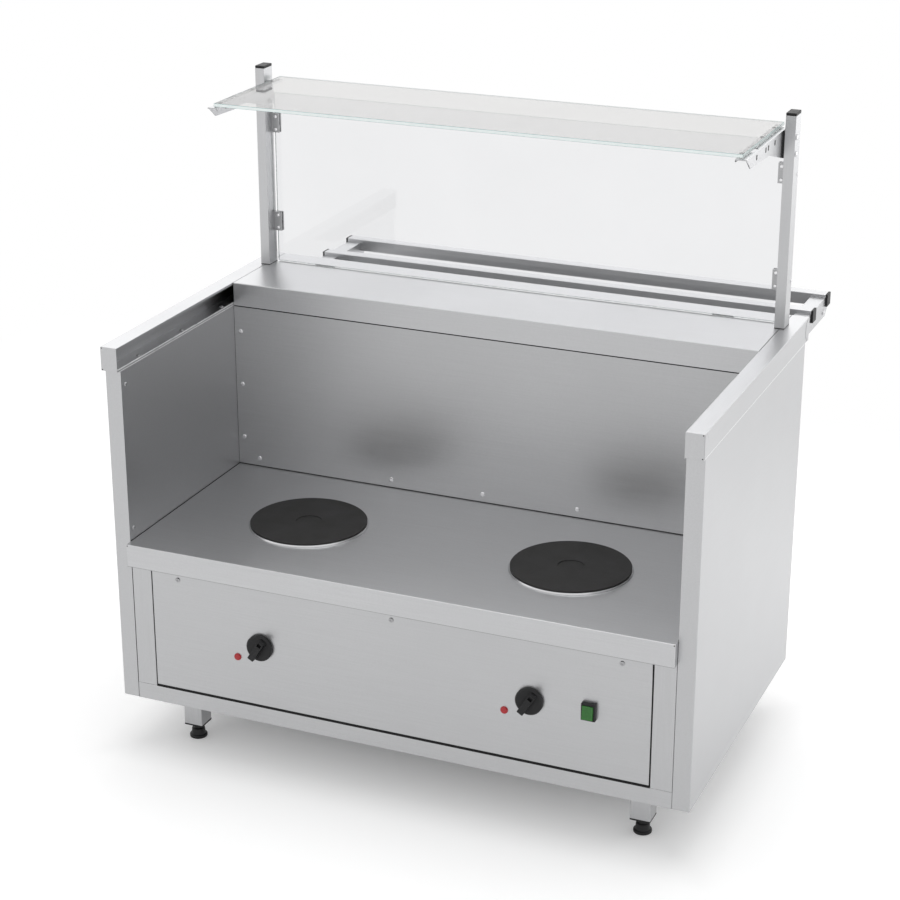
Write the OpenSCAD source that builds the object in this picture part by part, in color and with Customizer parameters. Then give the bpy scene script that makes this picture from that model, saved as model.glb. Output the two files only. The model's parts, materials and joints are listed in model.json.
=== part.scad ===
// Hotplate serving counter in folded stainless steel: two round cast-iron plates
// in an open bay, a control panel below it, a glass shelf and a glass screen on
// two posts above the rear deck, and a tray rail along the customer side.
// Pieces are drawn in the counter's own frame: x = 0 on the centre line, y = 0 at
// the front faces of the side panels, z = 0 on the floor. placed() then moves
// them so that the origin lies on the floor at the middle of the footprint.

/* [Body] */
// Width over the side panels
width = 1120; // [1000:10:1500]
// Depth of the side panels, front face to rear face
depth = 635; // [600:5:750]
// Height of the deck above the floor
deck_h = 808; // [780:1:900]
// Height of the body's underside above the floor
base_h = 108; // [90:1:130]
// Thickness of the sheet steel
sheet = 1.5; // [1:0.1:2]
// Thickness of the double-skinned side panels
panel_t = 32; // [28:1:40]

/* [Caps and deck] */
// Height of the cap channels that finish the side panels
cap_h = 45; // [35:1:50]
// Overhang of the caps past the outer faces of the side panels
cap_side = 0.6; // [0.2:0.1:1.5]
// Overhang of the caps past the front faces of the side panels
cap_front = 11; // [4:1:20]
// Overhang of the caps and the deck past the rear faces of the side panels
cap_rear = 17; // [10:1:30]
// Height of the folded lips along the caps' open side
cap_lip = 3; // [2:0.5:8]
// Height of the deck's front and rear aprons
deck_apron = 46; // [42:1:55]
// Width of the seam between the deck and each cap
deck_seam = 1; // [0.3:0.1:1.5]
// Height of the channels that carry the deck
rail_h = 60; // [55:1:90]
// Depth of the channels that carry the deck
rail_w = 30; // [20:1:36]

/* [Serving bay] */
// Depth of the bay, from the side panels' front faces to the deck's apron
bay_d = 426; // [400:2:450]
// Height of the bay, from the hob deck up to the rear deck
bay_h = 378; // [340:2:390]
// Overhang of the hob deck in front of the side panels
hob_front = 15.5; // [8:0.5:20]
// Height of the hob deck's front apron
hob_apron = 44; // [36:1:50]
// Length of the hob deck that runs on behind the back liner
hob_tail = 28; // [26:1:40]
// Gap at each end of the hob deck and of the back liner
hob_gap = 0.5; // [0.3:0.1:1]
// Gap above and below the back liner
liner_gap = 2; // [1:0.5:4]
// Leg width of the support angles
angle_w = 25; // [20:1:26]
// Thickness of the support angles
angle_t = 2; // [1.5:0.1:3]

/* [Hotplates] */
// Diameter of a cast-iron plate
plate_d = 220; // [180:2:240]
// Height of the plate's top above the hob deck
plate_rise = 6.5; // [5:0.5:12]
// Thickness of the plate's overhanging edge
plate_edge = 3; // [2:0.5:4]
// Distance between the two plates' centres
plate_pitch = 523.6; // [480:0.2:560]
// Distance from the side panels' front faces to the plates' centres
plate_y = 204; // [180:1:230]
// Depth of the casting below the hob deck
plate_body = 18; // [12:1:30]
// Width of the plate's overhang past its body
plate_lip = 12; // [8:1:16]
// Diameter of the shallow recess in the middle of a plate
recess_d = 48; // [30:1:80]
// Depth of the shallow recess
recess_depth = 1.6; // [0.4:0.1:2]
// Width of the steel spill ring that shows round a plate
ring_show = 3; // [1:0.5:5]
// Clearance between a plate's body and its spill ring or the hob deck
plate_clear = 0.5; // [0.3:0.1:2]
// Depth of the cover pan under a plate
pan_depth = 14; // [10:1:25]

/* [Front] */
// Width of the stiles beside the control panel
stile_w = 40.5; // [30:0.5:60]
// Depth of the stiles and rails
front_d = 25; // [20:1:35]
// Height of the bottom rail
bottom_rail_h = 32.5; // [25:0.5:45]
// Height of the hidden rail behind the top of the control panel
top_rail_h = 75; // [70:1:95]
// Gap between the front pieces and the side panels
front_seam = 0.5; // [0.3:0.1:1]
// Gap between the control panel and each stile
panel_gap = 2; // [1:0.5:4]
// Gap between the control panel and the bottom rail
panel_gap_low = 4; // [1:0.5:6]
// Depth of the control panel's folded edges
panel_fold = 12; // [8:1:20]
// Distance of the outer panel screws from the panel's ends
panel_screw_in = 54.2; // [40:0.2:80]
// Distance of the panel screws below the hob deck
panel_screw_drop = 60.7; // [52:0.1:68]

/* [Knobs] */
// Distance between the two knobs
knob_pitch = 527.6; // [400:0.2:600]
// Distance of the knobs below the hob deck
knob_drop = 165.7; // [140:0.1:200]
// Diameter of a knob's skirt
knob_d = 51; // [48:1:60]
// Thickness of the skirt
skirt_t = 8; // [6:0.5:10]
// Chamfer round the skirt
skirt_bevel = 2.5; // [1:0.1:4]
// Width of the grip bar
grip_w = 12.5; // [10:0.5:16]
// Length of the grip bar
grip_l = 43; // [34:1:50]
// Distance from the panel to the front of the grip
knob_reach = 21.5; // [16:0.5:30]
// Gap between a knob and the panel
knob_gap = 0.6; // [0.3:0.1:1.5]
// Angle of the grip from straight down at rest
knob_angle = 31.5; // [0:0.5:90]
// Side of the square index pocket in the grip
index_size = 8; // [4:0.5:9]
// Depth of the index pocket
index_depth = 5; // [1:0.5:8]
// Distance of the index pocket from the knob's axis
index_offset = 16; // [12:0.5:17]

/* [Heat switches] */
// Diameter of a heat switch's shaft
shaft_d = 6; // [5:0.5:8]
// Radial clearance of a shaft in its bush
shaft_clear = 0.1; // [0.05:0.01:0.1]
// Clearance past each end of a shaft
shaft_end_clear = 0.3; // [0.2:0.05:0.5]
// Radial clearance of a knob on its shaft
knob_fit = 0.05; // [0.02:0.01:0.1]
// Diameter of the bush that passes through the panel
bush_d = 12; // [11:0.5:16]
// Side of the square switch body
heat_switch_w = 42; // [36:1:50]
// Depth of the switch body behind the panel
heat_switch_d = 34; // [28:1:45]

/* [Lights and mains switch] */
// Distance of a pilot light to the left of its knob
pilot_left = 47.5; // [40:0.5:60]
// Distance of a pilot light below its knob
pilot_below = 28.5; // [0:0.5:40]
// Diameter of a pilot light's lens
pilot_d = 14; // [12:0.5:18]
// Height of the lens above the panel
pilot_rise = 3.2; // [2:0.1:6]
// Diameter of a pilot light's body
pilot_body_d = 10; // [8:0.5:11]
// Distance of the mains switch from the control panel's end
switch_in = 111; // [100:1:150]
// Distance of the mains switch below the hob deck
switch_drop = 163; // [140:1:180]
// Width of the switch housing
bezel_w = 26; // [25:0.5:32]
// Height of the switch housing
bezel_h = 32; // [31:0.5:40]
// Distance that the housing stands out from the panel
bezel_t = 10; // [9:0.5:14]
// Chamfer along the housing's front edges
bezel_bevel = 1.6; // [0.5:0.1:2]
// Width of the rocker
rocker_w = 20; // [16:0.5:21]
// Height of the rocker
rocker_h = 25.5; // [20:0.5:26]
// Distance that the rocker stands out from its housing
rocker_rise = 3; // [2.5:0.1:4]
// Tilt of the rocker from its middle at rest
rocker_tilt = 6; // [3:0.5:7]
// Clearance beside the rocker
rocker_clear = 0.4; // [0.3:0.05:0.6]
// Clearance above and below the rocker
rocker_swing = 0.8; // [0.7:0.05:1.2]
// Diameter of the rocker's pivot pins
rocker_pin_d = 3; // [2:0.1:4]

/* [Legs and feet] */
// Side of the square leg tube
leg_w = 38; // [30:1:45]
// Wall of the leg tube
leg_wall = 2; // [1.5:0.1:3]
// Distance from the outer face to a leg's centre
leg_inset_x = 109; // [85:1:140]
// Distance from the front or rear face to a leg's centre
leg_inset_y = 84; // [70:1:120]
// Side of the square plate on top of a leg
leg_plate_w = 70; // [62:1:80]
// Thickness of the leg's plate
leg_plate_t = 4; // [3:0.5:6]
// Height of a foot below its leg at rest
foot_h = 29.4; // [25:0.1:35]
// Diameter of a foot's base
foot_d = 34; // [32:1:45]
// Diameter of a foot's neck
neck_d = 26; // [18:1:30]
// Diameter of a foot's threaded stem
stem_d = 10; // [8:0.5:12]
// Length of the stem above the foot
stem_l = 52; // [50:1:55]
// Clearance between a foot and its leg insert at rest
foot_clear = 0.3; // [0.2:0.05:0.5]
// Radial clearance of the stem in the insert
stem_clear = 0.1; // [0.05:0.01:0.2]
// Thickness of the leg insert's flange
insert_t = 3.5; // [2:0.5:6]
// Length of the leg insert's plug
insert_l = 25; // [15:1:28]
// Clearance between a plug and its tube
plug_clear = 0.2; // [0.1:0.05:0.4]

/* [Posts] */
// Width of a post across the counter
post_w = 19; // [16:1:25]
// Depth of a post
post_d = 34; // [30:1:40]
// Wall of a post
post_wall = 1.5; // [1.2:0.1:2.5]
// Height of a post above the deck, without its cap
post_h = 394; // [360:1:450]
// Distance from the outer face of the side panel to the post
post_inset = 23.5; // [21:0.5:26]
// Distance from the deck's rear edge to the posts
post_setback = 56; // [50:1:65]
// Height of a post's cap
post_cap_t = 5; // [3:0.5:10]
// Length of the cap's plug inside the post
post_plug_l = 14; // [8:1:18]
// Thickness of the gasket under a post
gasket_t = 1; // [1:0.1:3]
// Thickness of a post's welded base
post_base_t = 4; // [3:0.5:8]

/* [Shelf and glass] */
// Height of the top shelf's underside above the deck
shelf_z = 367; // [350:1:372]
// Thickness of the glass panes
glass_t = 6; // [5:1:8]
// Thickness of the pads under the glass
pad_t = 1; // [0.5:0.1:2]
// Diameter of the round pads under the glass shelf
pad_d = 8; // [6:0.5:10]
// Gap between each end of the glass shelf and its post
shelf_gap = 12.5; // [8:0.5:16]
// Depth of the glass shelf
shelf_d = 267; // [240:1:300]
// Distance from a post's rear face to the back of its arm
arm_setback = 6; // [2:1:10]
// Overhang of the glass shelf behind the arms
shelf_back = 14; // [5:1:20]
// Length of the shelf arms
arm_l = 261; // [240:1:280]
// Sheet thickness of the shelf arms
arm_t = 2; // [1.5:0.1:3]
// Thickness of the spacer between a post and its arm
spacer_t = 4; // [3:0.5:6]
// Width of an arm's top flange
arm_flange_w = 20; // [18:1:26]
// Drop of the small fold along the flange's inner edge
arm_fold = 5; // [4:0.5:8]
// Height of an arm near its tip
arm_tip_h = 21; // [18:1:28]
// Height of an arm at the post
arm_root_h = 49; // [46:1:60]
// Gap between each end of the glass screen and its post
screen_gap = 4.5; // [3:0.5:6]
// Clearance between the screen's ends and the webs of its clamps
pane_clear = 0.4; // [0.2:0.1:0.8]
// Distance from the rear of the posts to the front of the screen
screen_in = 4; // [3:0.5:5]
// Height of the screen's lower edge above the deck
screen_low = 2; // [1:0.5:6]
// Height of the screen's upper edge above the deck
screen_top = 337; // [310:1:345]
// Height of the lower clamps' centres above the deck
clamp_low = 84; // [60:1:120]
// Height of the upper clamps' centres above the deck
clamp_high = 283; // [200:1:290]
// Height of a glass clamp
clamp_h = 38; // [34:1:50]
// Width of a glass clamp
clamp_w = 15.5; // [13:0.5:22]
// Thickness of a clamp's jaws
jaw_t = 3.5; // [3:0.5:5]
// Distance between a clamp's two screws
clamp_pitch = 25; // [22:1:28]

/* [Tray rail] */
// Side of the square rail tubes
tube_w = 25; // [20:1:30]
// Wall of the rail tubes
tube_wall = 1.5; // [1:0.1:2.5]
// Distance between neighbouring tubes
tube_pitch = 114; // [100:1:118]
// Number of rail tubes
tube_count = 3; // [2:1:3]
// Distance that the rail reaches behind the side panels
rail_reach = 326; // [320:1:400]
// Drop of the tubes' tops below the deck
rail_drop = 43; // [35:1:80]
// Height that the tubes stand above the consoles
tube_proud = 7; // [4:0.5:12]
// Width of a console
console_w = 30; // [24:1:40]
// Height of a console
console_h = 37.5; // [34:0.5:60]
// Distance from the outer face of the side panel to a console
console_inset = 37; // [36:1:60]
// Sheet thickness of the consoles
console_t = 2; // [1.5:0.1:3]
// Chamfer under a console's nose
nose_run = 22; // [10:1:30]
// Height of a console's wall plate
wall_plate_h = 100; // [90:1:130]
// Thickness of a console's wall plate
wall_plate_t = 4; // [3:0.5:6]
// Thickness of a tube's end cap
tube_cap_t = 4.5; // [3:0.5:8]
// Length of the cap's plug inside the tube
tube_plug_l = 15; // [8:1:20]

/* [Fasteners] */
// Diameter of a sheet screw's head
screw_head_d = 9; // [7:0.5:11]
// Height of a sheet screw's head
screw_head_h = 2.2; // [1.5:0.1:3.5]
// Diameter of a sheet screw's shank
screw_d = 3.5; // [3:0.1:4.5]
// Length of a sheet screw's shank
screw_l = 9; // [7:0.5:12]
// Diameter of a rivet's head
rivet_head_d = 9; // [6:0.5:10]
// Height of a rivet's head
rivet_head_h = 1.9; // [0.8:0.1:2.2]
// Radial clearance of screws and bolts in their holes
hole_clear = 0.2; // [0.1:0.05:0.4]
// Distance of the side liners' screws behind the side panels' front faces
liner_screw_in = 14.6; // [10:0.2:20]
// Distance of the side liners' upper screws below the caps
liner_screw_drop = 30; // [20:1:60]
// Distance of the side liners' lower screws above the hob deck
liner_screw_rise = 22; // [12:1:40]
// Distance of the end rivets in the back liner's lower row from its ends
rivet_end = 45.8; // [35:0.2:70]
// Distance of the first and last rear screws from the side panels' ends
rear_screw_end = 40; // [30:1:60]
// Diameter of the hex bolts
bolt_d = 8; // [6:1:10]
// Diameter of the pan-head bolts
pan_bolt_d = 6; // [5:0.5:8]
// Distance from a bolt's centre to the edge of its plate or post
bolt_edge = 8; // [7.5:0.5:8.5]
// Distance of a shelf arm's upper bolt below the arm's top
arm_bolt_drop = 11; // [9:0.5:13]
// Distance between a shelf arm's two bolts
arm_bolt_pitch = 30; // [22:1:34]
// Distance of a console's upper wall bolt below the console
wall_bolt_drop = 15; // [12:1:20]
// Distance between a console's two wall bolts
wall_bolt_pitch = 30; // [24:1:34]

/* [Inside] */
// Thickness of the backing plates
backing_t = 3; // [2:0.5:5]
// Height of the base tray's folded edges
tray_fold = 30; // [25:1:40]
// Height of the stiffening channels above the legs
stiffener_h = 25; // [20:1:35]
// Diameter of the cable gland's bore
gland_bore_d = 10; // [6:0.5:12]
// Distance of the cable gland from the rear panel's end
gland_end = 104; // [94:1:150]
// Height of the cable gland above the body's underside
gland_rise = 90; // [70:1:120]
// Diameter of the wiring conduits
conduit_d = 8; // [6:0.5:10]

/* [Hidden] */
$fn = 48;
// Amount by which a cut runs past the face that it opens
over = 1;

steel = [0.80, 0.80, 0.82];
steel_dark = [0.66, 0.66, 0.68];
iron = [0.20, 0.20, 0.21];
black = [0.12, 0.12, 0.13];
red = [0.75, 0.12, 0.15];
green = [0.20, 0.48, 0.20];
glass = [0.75, 0.88, 0.85, 0.35];
white = [0.92, 0.92, 0.90];

outer_x = width / 2;
inner_x = outer_x - panel_t;
cap_x = outer_x + cap_side;
cap_z = deck_h - cap_h;
deck_back = depth + cap_rear;
hob_z = deck_h - bay_h;
hob_x = inner_x - hob_gap;
under_deck = deck_h - sheet;
under_hob = hob_z - sheet;
liner_back = bay_d + sheet;
liner_top = deck_h - deck_apron - liner_gap;
rail_z = under_deck - rail_h;
hob_back = liner_back + hob_tail;
floor_top = base_h + sheet;
rear_face = depth + sheet;

bottom_rail_top = base_h + bottom_rail_h;
stile_in = inner_x - front_seam - stile_w;
panel_x = stile_in - panel_gap;
panel_low = bottom_rail_top + panel_gap_low;
panel_high = under_hob - panel_gap;
panel_screw_x = panel_x - panel_screw_in;
switch_x = panel_x - switch_in;
top_rail_low = under_hob - top_rail_h;
panel_screw_z = hob_z - panel_screw_drop;
knob_x = knob_pitch / 2;
knob_z = hob_z - knob_drop;
switch_z = hob_z - switch_drop;
plate_x = plate_pitch / 2;
plate_r = plate_d / 2;
neck_r = plate_r - plate_lip;

leg_x = outer_x - leg_inset_x;
leg_top = base_h - leg_plate_t;
leg_low = foot_h + insert_t;
leg_bolt_in = leg_plate_w / 2 - bolt_edge;

post_x1 = outer_x - post_inset;
post_x0 = post_x1 - post_w;
post_y1 = deck_back - post_setback;
post_y0 = post_y1 - post_d;
post_cx = (post_x0 + post_x1) / 2;
post_cy = (post_y0 + post_y1) / 2;
post_top = deck_h + post_h;
post_low = deck_h + gasket_t;

arm_x1 = post_x0 - spacer_t;
arm_x0 = arm_x1 - arm_t;
flange_x0 = arm_x1 - arm_flange_w;
arm_top = deck_h + shelf_z - pad_t;
arm_back = post_y1 - arm_setback;
arm_front = arm_back - arm_l;
screen_y = post_y1 - screen_in;
shelf_y1 = arm_back + shelf_back;
shelf_y0 = shelf_y1 - shelf_d;
shelf_x = post_x0 - shelf_gap;
screen_x = post_x0 - screen_gap;
arm_bolt_y = post_y0 + bolt_edge;
arm_bolt_heights = [arm_top - arm_bolt_drop, arm_top - arm_bolt_drop - arm_bolt_pitch];

rail_back = depth + rail_reach;
tube_top = deck_h - rail_drop;
tube_low = tube_top - tube_w;
console_x1 = outer_x - console_inset;
console_x0 = console_x1 - console_w;
console_top = tube_top - tube_proud;
tube_x = console_x1;
console_low = console_top - console_h;
wall_bolt_x = (console_x0 + console_x1) / 2;
wall_bolt_heights = [console_low - wall_bolt_drop, console_low - wall_bolt_drop - wall_bolt_pitch];
wall_plate_low = console_top - wall_plate_h;

pan_low = plate_body + pan_depth;
bar_low = pan_low + 4;
stud_low = bar_low + 10;

shaft_top = knob_reach - 5;
shaft_in = sheet + 22;
pilot_body_l = 25;
switch_body_l = 22;
pivot_out = bezel_t - 3;

rear_panel_x = inner_x + panel_t / 2;
gland_x = rear_panel_x - gland_end;
block_x = 145 - gland_x;
block_y = depth - 60;
block_l = 70;
block_w = 28;
block_h = 26;
gland_in = 12;

mid_y = (rail_back - max(knob_reach, hob_front)) / 2;

// Helpers

module placed() {
    translate([0, -mid_y, 0]) children();
}

module block(low, high) {
    translate(low) cube(high - low);
}

module pair() {
    children();
    mirror([1, 0, 0]) children();
}

module facing_front() {
    rotate([90, 0, 0]) children();
}

module facing_back() {
    rotate([-90, 0, 0]) children();
}

module facing_right() {
    rotate([0, 90, 0]) children();
}

module facing_left() {
    rotate([0, -90, 0]) children();
}

// A profile drawn in the y-z plane and extruded along +x from x0
module side_profile(x0, thickness) {
    translate([x0, 0, 0]) rotate([90, 0, 90]) linear_extrude(thickness) children();
}

// Square tube along z between two heights
module upright_tube(x0, x1, y0, y1, z0, z1, wall) {
    difference() {
        block([x0, y0, z0], [x1, y1, z1]);
        block([x0 + wall, y0 + wall, z0 - over], [x1 - wall, y1 - wall, z1 + over]);
    }
}

// Domed head on the plane z = 0 with its shank below
module pan_head(head_d, head_h, shank_d, shank_l) {
    shoulder = head_h * 0.45;
    rotate_extrude() polygon([
        [0, -shank_l], [shank_d / 2, -shank_l], [shank_d / 2, 0], [head_d / 2, 0],
        [head_d / 2, shoulder], [head_d * 0.42, head_h * 0.85],
        [head_d * 0.25, head_h], [0, head_h]
    ]);
}

module sheet_screw() {
    difference() {
        pan_head(screw_head_d, screw_head_h, screw_d, screw_l);
        translate([0, 0, screw_head_h]) cube([screw_head_d * 0.55, 0.9, 1.6], center = true);
        translate([0, 0, screw_head_h]) cube([0.9, screw_head_d * 0.55, 1.6], center = true);
    }
}

module screw_hole() {
    cylinder(d = screw_d + 2 * hole_clear, h = 8 * sheet, center = true);
}

module hex_head(across, height) {
    cylinder(d = across / cos(30), h = height, $fn = 6);
}

// Hex head on the plane z = 0 with its shank below
module hex_bolt(shank_l) {
    union() {
        hex_head(bolt_d * 1.6, bolt_d * 0.65);
        translate([0, 0, -shank_l]) cylinder(d = bolt_d, h = shank_l + 0.5);
    }
}

module bolt_hole(length) {
    cylinder(d = bolt_d + 2 * hole_clear, h = length, center = true);
}

// Hex nut from z = 0 upwards
module hex_nut(thread_d) {
    difference() {
        hex_head(thread_d * 1.6, thread_d * 0.8);
        translate([0, 0, -over]) {
            cylinder(d = thread_d + 2 * hole_clear, h = thread_d * 0.8 + 2 * over);
        }
    }
}

// Places that several pieces share

module at_panel_screws() {
    for (x = [-panel_screw_x, 0, panel_screw_x]) {
        translate([x, 0, panel_screw_z]) facing_front() children();
    }
}

module at_cap_screws() {
    for (share = [0.197, 0.568, 0.937]) {
        translate([inner_x + 0.375 * panel_t, share * bay_d, cap_z + sheet]) children();
    }
}

module at_liner_screws() {
    for (z = [cap_z - liner_screw_drop, hob_z + liner_screw_rise]) {
        translate([inner_x, liner_screw_in, z]) facing_left() children();
    }
}

module at_rear_screws() {
    pitch = (cap_z - base_h - 2 * rear_screw_end) / 3;
    for (k = [0 : 3]) {
        z = base_h + rear_screw_end + k * pitch;
        translate([inner_x + panel_t / 4, rear_face, z]) facing_back() children();
    }
}

module at_side_rivets() {
    for (share = [0.2593, 0.5492, 0.8431]) {
        translate([hob_x - 0.52 * angle_w, bay_d, deck_h - share * bay_h]) {
            facing_front() children();
        }
    }
}

module at_low_rivets() {
    for (share = [-1, -0.4, 0, 0.4, 1]) {
        translate([share * (hob_x - rivet_end), bay_d, hob_z + 0.7 * angle_w]) {
            facing_front() children();
        }
    }
}

module at_legs() {
    for (y = [leg_inset_y, depth - leg_inset_y]) {
        translate([leg_x, y, 0]) children();
    }
}

module at_leg_bolts() {
    for (dx = [-leg_bolt_in, leg_bolt_in]) {
        translate([dx, 0, 0]) children();
    }
}

module at_wall_bolts() {
    for (z = wall_bolt_heights) {
        translate([wall_bolt_x, rear_face + wall_plate_t, z]) facing_back() children();
    }
}

module at_arm_bolts() {
    for (z = arm_bolt_heights) {
        translate([post_x1, arm_bolt_y, z]) facing_right() children();
    }
}

module at_console_bolt() {
    translate([console_x1, rail_back - 1.56 * tube_w, tube_low - 8]) facing_right() children();
}

module at_clamps() {
    for (z = [clamp_low, clamp_high]) {
        translate([0, 0, deck_h + z]) children();
    }
}

module at_jaw_screws() {
    for (dz = [-clamp_pitch / 2, clamp_pitch / 2]) {
        translate([post_x0 - clamp_w * 0.55, screen_y - jaw_t, dz]) facing_front() children();
    }
}

module at_clamp_fixing() {
    translate([post_x1, screen_y + 0.5, 0]) facing_right() children();
}

module at_plates() {
    for (x = [-plate_x, plate_x]) {
        translate([x, plate_y, hob_z]) children();
    }
}

module at_knobs() {
    for (x = [-knob_x, knob_x]) {
        translate([x, 0, knob_z]) facing_front() children();
    }
}

module at_pilots() {
    for (x = [-knob_x, knob_x]) {
        translate([x - pilot_left, 0, knob_z - pilot_below]) facing_front() children();
    }
}

module at_gland() {
    translate([-gland_x, rear_face, base_h + gland_rise]) facing_back() children();
}

// Body panels

module side_panel() {
    difference() {
        block([inner_x, 0, base_h], [outer_x, depth, cap_z]);
        block([inner_x - over, sheet, floor_top], [outer_x - sheet, depth - sheet, cap_z - sheet]);
        at_cap_screws() screw_hole();
        at_rear_screws() screw_hole();
    }
}

module side_panel_left() {
    color(steel) placed() mirror([1, 0, 0]) side_panel();
}

module side_panel_right() {
    color(steel) placed() side_panel();
}

module side_liner() {
    difference() {
        block([inner_x, sheet, floor_top], [inner_x + sheet, depth - sheet, cap_z - sheet]);
        at_liner_screws() screw_hole();
    }
}

module side_liner_left() {
    color(steel_dark) placed() mirror([1, 0, 0]) side_liner();
}

module side_liner_right() {
    color(steel_dark) placed() side_liner();
}

// Channel that is open towards the bay, with a small lip along both its edges
module cap_arm() {
    difference() {
        union() {
            difference() {
                block([inner_x, -cap_front, cap_z], [cap_x, deck_back, deck_h]);
                block([inner_x - over, sheet - cap_front, cap_z + sheet],
                      [cap_x - sheet, deck_back - sheet, under_deck]);
            }
            block([inner_x, sheet / 2 - cap_front, under_deck - cap_lip],
                  [inner_x + sheet, bay_d, under_deck + sheet / 2]);
            block([inner_x, sheet / 2 - cap_front, cap_z + sheet / 2],
                  [inner_x + sheet, bay_d, cap_z + sheet + cap_lip]);
        }
        at_cap_screws() screw_hole();
        translate([post_cx, post_cy, deck_h]) bolt_hole(8 * sheet);
    }
}

module cap_arm_left() {
    color(steel) placed() mirror([1, 0, 0]) cap_arm();
}

module cap_arm_right() {
    color(steel) placed() cap_arm();
}

module rear_deck() {
    deck_x = inner_x - deck_seam;
    color(steel) placed() difference() {
        block([-deck_x, bay_d, deck_h - deck_apron], [deck_x, deck_back, deck_h]);
        block([-inner_x, bay_d + sheet, deck_h - deck_apron - over],
              [inner_x, deck_back - sheet, under_deck]);
        pair() translate([post_cx, post_cy, deck_h]) bolt_hole(8 * sheet);
    }
}

// Two channels between the side panels, open towards each other
module deck_rails() {
    color(steel_dark) placed() {
        difference() {
            block([-inner_x, liner_back, rail_z], [inner_x, liner_back + rail_w, under_deck]);
            block([-inner_x - over, liner_back + sheet, rail_z + sheet],
                  [inner_x + over, liner_back + rail_w + over, under_deck - sheet]);
        }
        difference() {
            block([-inner_x, depth - rail_w, rail_z], [inner_x, depth, under_deck]);
            block([-inner_x - over, depth - rail_w - over, rail_z + sheet],
                  [inner_x + over, depth - sheet, under_deck - sheet]);
        }
    }
}

module back_liner() {
    color(steel_dark) placed() difference() {
        block([-hob_x, bay_d, hob_z + liner_gap], [hob_x, liner_back, liner_top]);
        pair() at_side_rivets() screw_hole();
        at_low_rivets() screw_hole();
    }
}

// Angles behind the back liner's edges, and angles under the ends of the hob deck
module support_angles() {
    corner_x = inner_x - angle_w;
    color(steel_dark) placed() {
        pair() difference() {
            block([corner_x, liner_back, hob_z], [inner_x, liner_back + angle_w, rail_z]);
            block([corner_x - over, liner_back + angle_t, hob_z - over],
                  [inner_x - angle_t, liner_back + angle_w + over, rail_z + over]);
            at_side_rivets() screw_hole();
        }
        difference() {
            block([1 - corner_x, liner_back, hob_z],
                  [corner_x - 1, liner_back + angle_w, hob_z + angle_w]);
            block([-corner_x, liner_back + angle_t, hob_z + angle_t],
                  [corner_x, liner_back + angle_w + over, hob_z + angle_w + over]);
            at_low_rivets() screw_hole();
        }
        pair() difference() {
            block([corner_x, front_d, under_hob - angle_w], [inner_x, hob_back, under_hob]);
            block([corner_x - over, front_d - over, under_hob - angle_w - over],
                  [inner_x - angle_t, hob_back + over, under_hob - angle_t]);
        }
    }
}

module hob_deck() {
    color(steel) placed() difference() {
        union() {
            block([-hob_x, -hob_front, under_hob], [hob_x, hob_back, hob_z]);
            block([-hob_x, -hob_front, hob_z - hob_apron], [hob_x, sheet - hob_front, hob_z]);
            pair() block([hob_x - sheet, -hob_front, hob_z - hob_apron],
                         [hob_x, -0.5, hob_z]);
        }
        at_plates() cylinder(r = neck_r + plate_clear, h = 4 * sheet, center = true, $fn = 96);
    }
}

// Front frame and control panel

module front_stiles() {
    color(steel) placed() pair() difference() {
        block([stile_in, 0, bottom_rail_top + 0.4], [inner_x - front_seam, front_d, under_hob]);
        block([stile_in + sheet, sheet, bottom_rail_top],
              [inner_x - front_seam - sheet, front_d + over, under_hob - sheet]);
    }
}

module top_rail() {
    color(steel_dark) placed() difference() {
        block([-stile_in, sheet, top_rail_low], [stile_in, front_d, under_hob]);
        block([-stile_in - over, 2 * sheet, top_rail_low + sheet],
              [stile_in + over, front_d + over, under_hob - sheet]);
        at_panel_screws() screw_hole();
    }
}

module bottom_rail() {
    rail_x = inner_x - front_seam;
    color(steel) placed() difference() {
        block([-rail_x, 0, base_h], [rail_x, front_d, bottom_rail_top]);
        block([sheet - rail_x, sheet, floor_top],
              [rail_x - sheet, front_d + over, bottom_rail_top - sheet]);
    }
}

module control_panel() {
    fold_top = top_rail_low - 1;
    color(steel) placed() difference() {
        union() {
            block([-panel_x, 0, panel_low], [panel_x, sheet, panel_high]);
            pair() block([panel_x - sheet, 0, panel_low], [panel_x, panel_fold, fold_top]);
            block([-panel_x, 0, panel_low], [panel_x, panel_fold, panel_low + sheet]);
        }
        at_panel_screws() screw_hole();
        at_knobs() cylinder(d = bush_d + 2 * hole_clear, h = 6 * sheet, center = true);
        at_pilots() cylinder(d = pilot_body_d + 2 * hole_clear, h = 6 * sheet, center = true);
        translate([switch_x, 0, switch_z]) {
            cube([bezel_w - 3, 6 * sheet, bezel_h - 3], center = true);
        }
    }
}

module rear_panel() {
    color(steel) placed() difference() {
        block([-rear_panel_x, depth, base_h + 2],
              [rear_panel_x, rear_face, deck_h - deck_apron - 1]);
        pair() at_rear_screws() screw_hole();
        pair() at_wall_bolts() bolt_hole(12 * sheet);
        at_gland() cylinder(d = 20 + 2 * hole_clear, h = 6 * sheet, center = true);
    }
}

// Base and legs

module base_tray() {
    color(steel_dark) placed() difference() {
        block([-inner_x, front_d, base_h], [inner_x, depth, base_h + tray_fold]);
        block([sheet - inner_x, front_d + sheet, floor_top],
              [inner_x - sheet, depth - sheet, base_h + tray_fold + over]);
        pair() at_legs() at_leg_bolts() translate([0, 0, base_h]) bolt_hole(8 * sheet);
    }
}

module stiffeners() {
    half = leg_plate_w / 2 + 2;
    color(steel_dark) placed() pair() difference() {
        block([leg_x - half, front_d + sheet, floor_top],
              [leg_x + half, depth - sheet, floor_top + stiffener_h]);
        block([leg_x - half + angle_t, front_d, floor_top + angle_t],
              [leg_x + half - angle_t, depth, floor_top + stiffener_h + over]);
        at_legs() at_leg_bolts() translate([0, 0, floor_top]) bolt_hole(8 * sheet);
    }
}

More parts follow.
